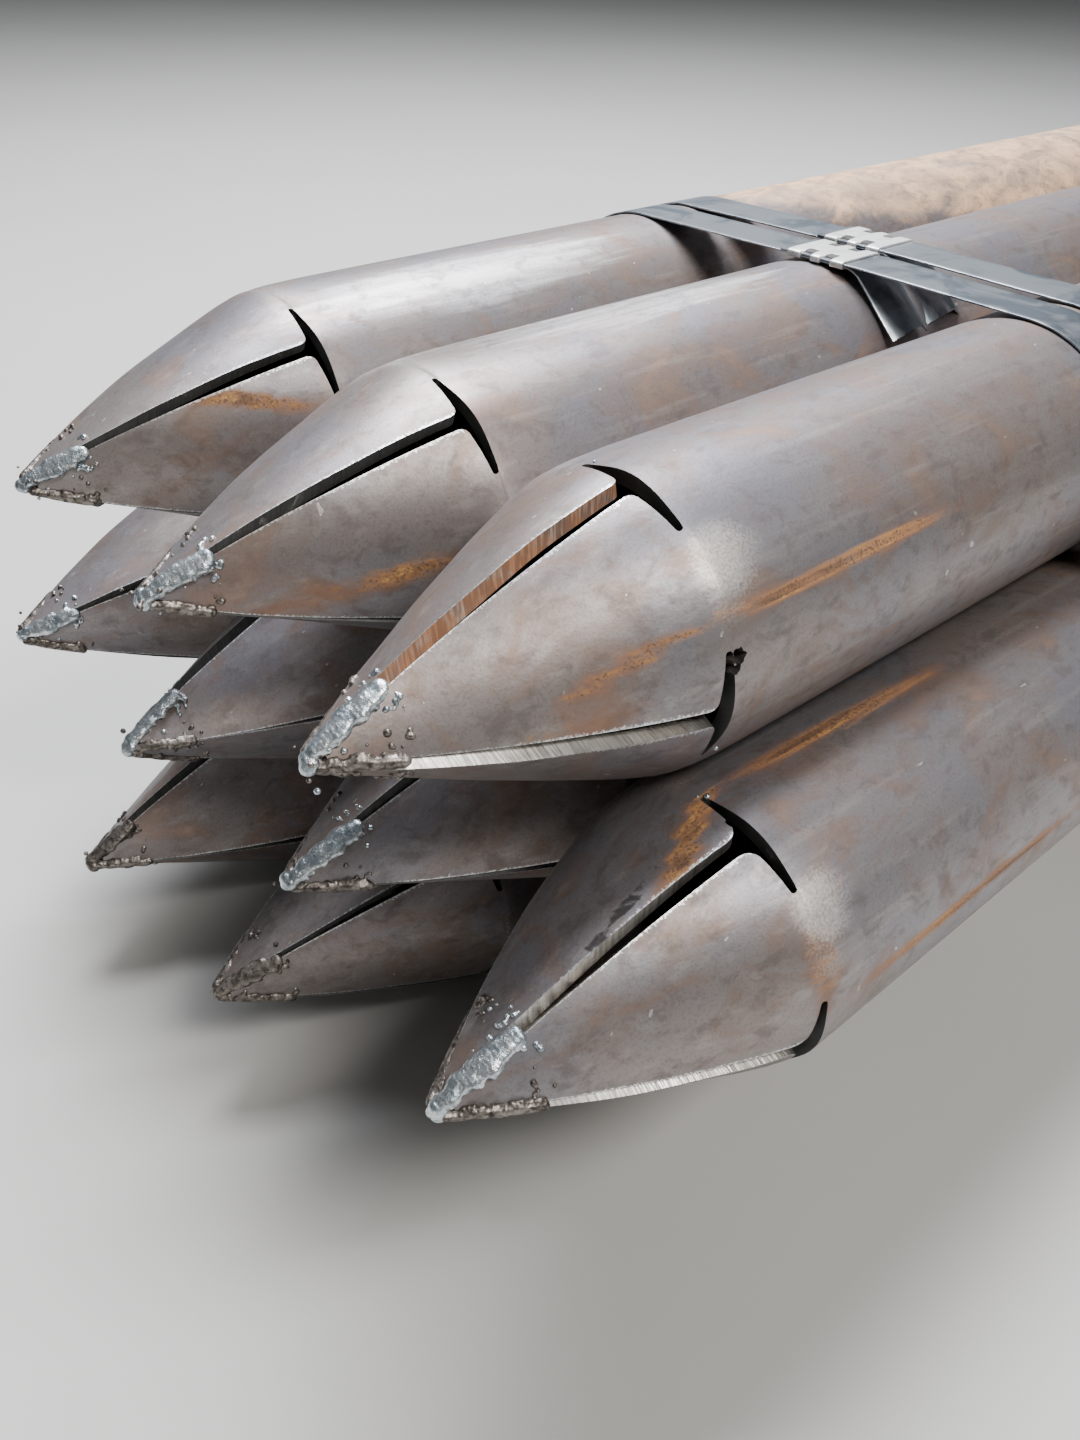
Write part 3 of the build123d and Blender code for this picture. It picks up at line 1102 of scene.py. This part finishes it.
@dataclass
class StrapBand:
    """One steel strap round the bundle, its ends overlapped in a seal."""

    node: str
    seal_node: str
    # The pipes that it bends round, in order.
    outer: tuple[str, ...] = ("pipe_top_left", "pipe_middle_outer_left", "pipe_bottom_left",
                              "pipe_bottom_right", "pipe_middle_outer_right", "pipe_top_right")
    thickness: float = 0.9
    clearance: float = 0.3       # from the strap to a pipe
    layer_gap: float = 0.1       # between the two layers in the seal
    corner_turn: float = 60.0    # turn that it makes round a corner pipe, degrees
    flat_bend: float = 2.0       # radius of its bends beside the seal, by the pipe's
    end_overhang: float = 6.0
    tail_length: float = 44.0
    tail_drop: float = 37.0      # degrees
    tail_bend: float = 15.0
    tail_crease: float = 9.0     # how high the free end's lengthwise fold stands
    edge_round: float = 0.2
    columns: int = 8
    arc_step: float = 4.0        # turn between two rows of points, degrees

    def __post_init__(self) -> None:
        """Take the strap's place from the frame."""
        low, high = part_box(self.node)
        self.low, self.high = low.x / MM, high.x / MM
        seal_low, seal_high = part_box(self.seal_node)
        self.seal_middle = (seal_low.y + seal_high.y) / 2 / MM
        self.seal_half = (seal_high.y - seal_low.y) / 2 / MM
        self.height = (seal_low.z + seal_high.z) / 2 / MM

    def level(self, lay: Lay) -> float:
        """Height of the middle of one layer where it passes the seal."""
        side = 1 if lay is Lay.UPPER else -1
        return self.height + side * (self.thickness + self.layer_gap) / 2

    def path(self) -> list[Vector]:
        """Middle line of the strip, from its free lower end to its cut upper end.

        Returns:
            Points in millimetres, in the strap's own plane.
        """
        pipes = [PointedPipe(name, 0) for name in self.outer]
        axes = [pipe.axis for pipe in pipes]
        radius = pipes[0].radius
        distance = radius + self.clearance + self.thickness / 2
        reach = distance / math.cos(math.radians(self.corner_turn / 2))
        middle = sum(axes, Vector()) / len(axes)
        flat = self.seal_half + self.end_overhang
        lower, upper = self.level(Lay.LOWER), self.level(Lay.UPPER)
        drop = math.radians(self.tail_drop)
        first = Vector((0, self.seal_middle - flat, lower))
        tail = first - self.tail_length * Vector((0, math.cos(drop), math.sin(drop)))
        corners = [tail, first, Vector((0, self.seal_middle + flat, lower))]
        for axis in axes:
            out = axis - middle
            turns = round(math.degrees(math.atan2(out.z, out.y)) / self.corner_turn)
            angle = math.radians(turns * self.corner_turn)
            corners.append(axis + reach * Vector((0, math.cos(angle), math.sin(angle))))
        corners.append(Vector((0, self.seal_middle - flat - self.end_overhang, upper)))
        corners.append(Vector((0, self.seal_middle + flat, upper)))
        wide = self.flat_bend * radius
        radii = [self.tail_bend, wide, *[distance] * len(axes), wide]
        return rounded_path(corners, radii, self.arc_step)

    def crease(self, row: list, middle: float, run: Vector, share: float) -> None:
        """Fold a row of the free end lengthwise, as the feed wheel of a tensioner does.

        Args:
            row: points across the strip.
            middle: the strip's middle along X, mm.
            run: direction of the free end.
            share: how much of the fold to add; negative flattens it again.
        """
        up = Vector((0, -run.z, run.y)).normalized()
        half = (self.high - self.low) / 2
        for point in row:
            aside = abs(point.co.x / MM - middle) / half
            point.co += up * (share * self.tail_crease * (0.5 - aside) * MM)

    def build(self, finish: bpy.types.Material) -> bpy.types.Object:
        """Draw the strip along its path.

        Args:
            finish: the strap's finish.

        Returns:
            The strap.
        """
        mesh = bmesh.new()
        path = self.path()
        width = self.high - self.low
        bmesh.ops.create_grid(mesh, x_segments=self.columns, y_segments=1, size=width / 2 * MM)
        below = [point for point in mesh.verts if point.co.y < 0]
        bmesh.ops.delete(mesh, geom=below, context="VERTS")
        middle = (self.low + self.high) / 2
        for point in mesh.verts:
            point.co = Vector((point.co.x, 0, 0)) + (Vector((middle, 0, 0)) + path[0]) * MM
        self.crease(list(mesh.verts), middle, path[1] - path[0], 1)
        edges = list(mesh.edges)
        for number, (before, after) in enumerate(zip(path, path[1:])):
            points, edges = extrude_row(mesh, edges)
            if number == 0:
                self.crease(points, middle, path[1] - path[0], -1)
            bmesh.ops.translate(mesh, verts=points, vec=(after - before) * MM)
        centre = Vector((0, 0, self.height / 2 * MM))
        face_outwards(mesh, lambda spot: spot - centre - Vector((spot.x, 0, 0)))
        strap = new_piece(self.node + "_strip", mesh, finish)
        thicken(strap, self.thickness, 0)
        break_edges(strap, self.edge_round)
        return strap


@dataclass
class CrimpedSeal:
    """Sleeve of sheet steel round a strap's two layers, notched on both sides."""

    node: str
    wall: float = 1.1
    corner_power: float = 0.35   # the lower it is, the squarer the sleeve
    notch_width: float = 7.0
    notch_depth: float = 5.0
    notch_pitch: float = 13.0
    notch_soft: float = 0.4      # how softly a notch's sides start
    notch_reach: tuple[float, float] = (6, 13)           # from the middle, start and whole depth
    shade_reach: tuple[float, float] = (-0.3, -0.9)       # painted shade, by the half height: start and darkest
    edge_round: float = 0.2
    columns: int = 32
    rows: int = 48

    def squared(self, place: float, half: float) -> float:
        """Move a coordinate of a unit circle to a rounded rectangle of a half size in metres."""
        out = math.copysign(abs(place) ** self.corner_power, place)
        return out * (half - self.wall * MM / 2)

    def build(self, finish: bpy.types.Material) -> bpy.types.Object:
        """Fold the sleeve and crimp it.

        Args:
            finish: the seal's finish.

        Returns:
            The seal.
        """
        low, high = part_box(self.node)
        middle = (low + high) / 2
        half = (high - low) / 2
        mesh = bmesh.new()
        soot_and_shade = mesh.verts.layers.float.new(Mark.SOOT_AND_SHADE.value)
        bmesh.ops.create_circle(mesh, segments=self.columns, radius=1)
        for point in mesh.verts:
            across, up = self.squared(point.co.x, half.x), self.squared(point.co.y, half.z)
            point.co = Vector((across, -half.y, up))
        edges = list(mesh.edges)
        pitch = 2 * half.y / self.rows
        for _ in range(self.rows):
            points, edges = extrude_row(mesh, edges)
            bmesh.ops.translate(mesh, verts=points, vec=(0, pitch, 0))
        # Painted shade: darker towards the bottom of the sleeve and in the notches.
        for point in mesh.verts:
            dark = smooth_step(*self.shade_reach, point.co.z / half.z)
            point[soot_and_shade] = dark + self.crimp(point)
        face_outwards(mesh, lambda spot: Vector((spot.x, 0, spot.z)))
        bmesh.ops.translate(mesh, verts=mesh.verts, vec=middle)
        seal = new_piece(self.node + "_sleeve", mesh, finish)
        thicken(seal, self.wall, 0)
        break_edges(seal, self.edge_round)
        return seal

    def crimp(self, point: bmesh.types.BMVert) -> float:
        """Press one point of the sleeve in where a notch is.

        Args:
            point: the point.

        Returns:
            How far it was pressed, from 0 to 1.
        """
        along = abs(abs(point.co.y) / MM - self.notch_pitch / 2)
        half = self.notch_width / 2
        pressed = smooth_step(half + self.notch_soft, half - self.notch_soft, along)
        pressed *= smooth_step(*self.notch_reach, abs(point.co.x) / MM)
        point.co.x -= math.copysign(pressed * self.notch_depth * MM, point.co.x)
        return pressed


@dataclass(frozen=True)
class SoftLamp:
    """One large soft lamp."""

    name: str
    spot: tuple[float, float, float]     # metres
    aim: tuple[float, float, float]      # the point that it faces, metres
    size: tuple[float, float]            # width and height, metres
    power: float                         # watts
    colour: str

    def hang(self) -> None:
        """Add the lamp to the scene."""
        data = bpy.data.lights.new(self.name, "AREA")
        data.shape = "RECTANGLE"
        data.size, data.size_y = self.size
        data.energy = self.power
        data.color = linear(self.colour)[:3]
        lamp = add_object(self.name, data)
        lamp.location = self.spot
        towards = Vector(self.aim) - Vector(self.spot)
        lamp.rotation_euler = towards.to_track_quat("-Z", "Y").to_euler()


@dataclass
class Studio:
    """Pale floor, soft light and the camera."""

    starts_at: str = "pipe_bottom_middle"
    level_with: str = "pipe_top_middle"
    floor_size: float = 40.0     # metres
    floor_cells: int = 4
    focal: float = 1229.75       # pixels of the frame
    image_height: float = 1440.0
    sensor: float = 36.0         # mm
    nearest: float = 0.01        # nearest thing that the camera sees, metres
    heading: float = 0.811       # radians
    pitch: float = 0.612
    roll: float = -0.037
    back: float = 167.8          # camera, before the tip of the pipe it starts at, mm
    aside: float = 403.8         # camera, beside the bundle's middle
    above: float = 238.3         # camera, above the axis of the pipe it is level with
    air_colour: str = "#DDE3E8"
    air_strength: float = 0.15
    lamps: tuple[SoftLamp, ...] = (
        SoftLamp("sky", (-0.35, 1.1, 3.1), (-1.0, 0, 0), (1.6, 1.5), 375, "#F6F8FF"),
        SoftLamp("window", (-1.3, -2.05, 2.75), (-1.3, 0, 0.2), (1.0, 0.8), 112, "#FFFCF8"),
    )

    def floor(self) -> bpy.types.Object:
        """Lay the floor.

        Returns:
            The floor.
        """
        mesh = bmesh.new()
        bmesh.ops.create_grid(mesh, x_segments=self.floor_cells, y_segments=self.floor_cells,
                              size=self.floor_size / 2)
        return new_piece("floor", mesh, FLOOR_PAINT.build())

    def camera(self) -> None:
        """Put the camera at the photograph's viewing angle."""
        low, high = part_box(self.level_with)
        level = (low.z + high.z) / 2
        tip_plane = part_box(self.starts_at)[0].x
        forward = Vector((math.cos(self.heading) * math.cos(self.pitch),
                          math.sin(self.heading) * math.cos(self.pitch), -math.sin(self.pitch)))
        right = Vector((math.sin(self.heading), -math.cos(self.heading), 0))
        down = forward.cross(right)
        right_turned = math.cos(self.roll) * right + math.sin(self.roll) * down
        down_turned = -math.sin(self.roll) * right + math.cos(self.roll) * down
        data = bpy.data.cameras.new("camera")
        data.sensor_width = self.sensor
        data.lens = self.focal * self.sensor / self.image_height
        data.clip_start = self.nearest
        camera = add_object("camera", data)
        turn = Matrix((right_turned, -down_turned, -forward)).transposed()
        spot = Vector((tip_plane - self.back * MM, -self.aside * MM, level + self.above * MM))
        camera.matrix_world = Matrix.Translation(spot) @ turn.to_4x4()
        bpy.context.scene.camera = camera

    def light(self) -> None:
        """Hang the lamps and set the even light round the scene."""
        for lamp in self.lamps:
            lamp.hang()
        world = bpy.data.worlds.new("studio")
        world.use_nodes = True
        air = world.node_tree.nodes["Background"]
        air.inputs["Color"].default_value = linear(self.air_colour)
        air.inputs["Strength"].default_value = self.air_strength
        bpy.context.scene.world = world


def bundle_pipes() -> list[PointedPipe]:
    """The ten pipes, with the wear that the photograph shows on those in view, and a painted
    highlight along the upper sides of two of them.

    Returns:
        The pipes.
    """
    return [
        PointedPipe("pipe_top_left", 49, (
            Patch(Mark.RUST, 96, 29, 58, 7, 1.0, -0.22),
            Patch(Mark.WARM, 1760, 90, 1430, 110, 8.0),
            # Pale scratches with a painted highlight along the upper side.
            Patch(Mark.PALE_SCRATCHES_AND_HIGHLIGHT, 250, 68, 150, 26, 1.0),
            Patch(Mark.POLISH, 250, 64, 42, 7, 0.8),
        ), bead_length=30, fine=True),
        PointedPipe("pipe_top_middle", 56, (
            Patch(Mark.RUST, 74, -1, 66, 9, 0.62, 0.12),
            Patch(Mark.RUST, 108, 0, 34, 10, 0.45),
            # Pale scratches with a painted highlight along the top.
            Patch(Mark.PALE_SCRATCHES_AND_HIGHLIGHT, 280, 95, 150, 26, 0.9),
        ), bead_length=30, fine=True),
        PointedPipe("pipe_top_right", 82, (
            Patch(Mark.RUST, 222, 26.5, 85, 5.5, 1.0),
            Patch(Mark.RUST, 160, 27, 26, 4, 0.85),
            Patch(Mark.RUST, 112, 26.5, 44, 5, 1.0, 0.1),
            Patch(Mark.RUST, 75, 9, 48, 18, 0.62),
            Patch(Mark.HEAT, 75, 125, 110, 48, 1.0),
            Patch(Mark.POLISH, 152, 46, 20, 16, 1.0),
        ), edges=((0, -1, Mark.RUSTY_EDGE),), lifts=(3.0, 1.0, 2.5, -2.0), weld_gap=3.4,
            fine=True,
            tears=(Blemish(143.5, 13.5, 3.0), Blemish(142.0, 9.5, 2.0)),
            burrs=(Blemish(145, -29, 1.2), Blemish(143, 104, 0.9))),
        PointedPipe("pipe_middle_outer_left", 38, bead_length=30),
        PointedPipe("pipe_middle_inner_left", 95),
        PointedPipe("pipe_middle_inner_right", 70, (
            Patch(Mark.RUST, 90, 30, 50, 8, 0.4),
        ), bead_length=36),
        PointedPipe("pipe_middle_outer_right", 73, (
            Patch(Mark.RUST, 215, 93, 100, 7, 1.0, -0.05),
            Patch(Mark.RUST, 114, 88, 42, 9, 1.25, 0.3),
            Patch(Mark.RUST, 240, 2.5, 135, 5, 1.0),
            Patch(Mark.RUST, 141, 22, 12, 26, 0.75),
            Patch(Mark.POLISH, 150, 42, 20, 16, 1.0),
            *(Patch(Mark.SOOT_AND_SHADE, 72 + 8 * step, 97 - 0.6 * step, 6.5, 5.5, 1.2) for step in range(5)),
        ), edges=(), lifts=(3.0, 1.0, 0.5, -2.0), corner_radius=6.5, weld_gap=4.0,
            bead_length=37, fine=True,
            tears=(Blemish(138, 82.5, 2.6),),
            burrs=(Blemish(141.5, 96.5, 1.5), Blemish(139, 99, 0.9))),
        PointedPipe("pipe_bottom_left", 82, bead_length=29, brushed=False),
        PointedPipe("pipe_bottom_middle", 48, (
            Patch(Mark.RUST, 80, 20, 50, 8, 0.5),
        ), brushed=False),
        PointedPipe("pipe_bottom_right", 30),
    ]


def main() -> None:
    """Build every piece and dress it."""
    logging.basicConfig(level=logging.INFO, format="%(name)s: %(message)s")
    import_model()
    outside, bore, cut = MILL_SCALE.build(), BORE.build(), CUT_EDGE.build()
    weld, dark_weld = GROUND_WELD.build(), RAW_WELD.build()
    strap_finish, seal_finish = STRAP_STEEL.build(), SEAL_STEEL.build()
    pipes = bundle_pipes()
    tubes = [pipe.build(outside, bore, cut) for pipe in pipes]
    for pipe, tube in zip(pipes, tubes):
        top_weld = weld if pipe.brushed else dark_weld
        for piece in (tube, *PointWeld(pipe).build(top_weld, dark_weld)):
            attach(piece, BODY)
            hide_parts(pipe.node)
        log.info("%s: tube and weld", pipe.node)
    for end in ("front", "rear"):
        for place in ("near", "far"):
            band = StrapBand(f"strap_{end}_{place}", f"seal_{end}_{place}")
            strap = band.build(strap_finish)
            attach(strap, BODY)
            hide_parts(band.node)
            sleeve = CrimpedSeal(band.seal_node).build(seal_finish)
            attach(sleeve, BODY)
            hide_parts(band.seal_node)
            log.info("%s: strap and seal", band.node)
    studio = Studio()
    studio.floor()
    studio.camera()
    studio.light()


if __name__ == "__main__":
    main()
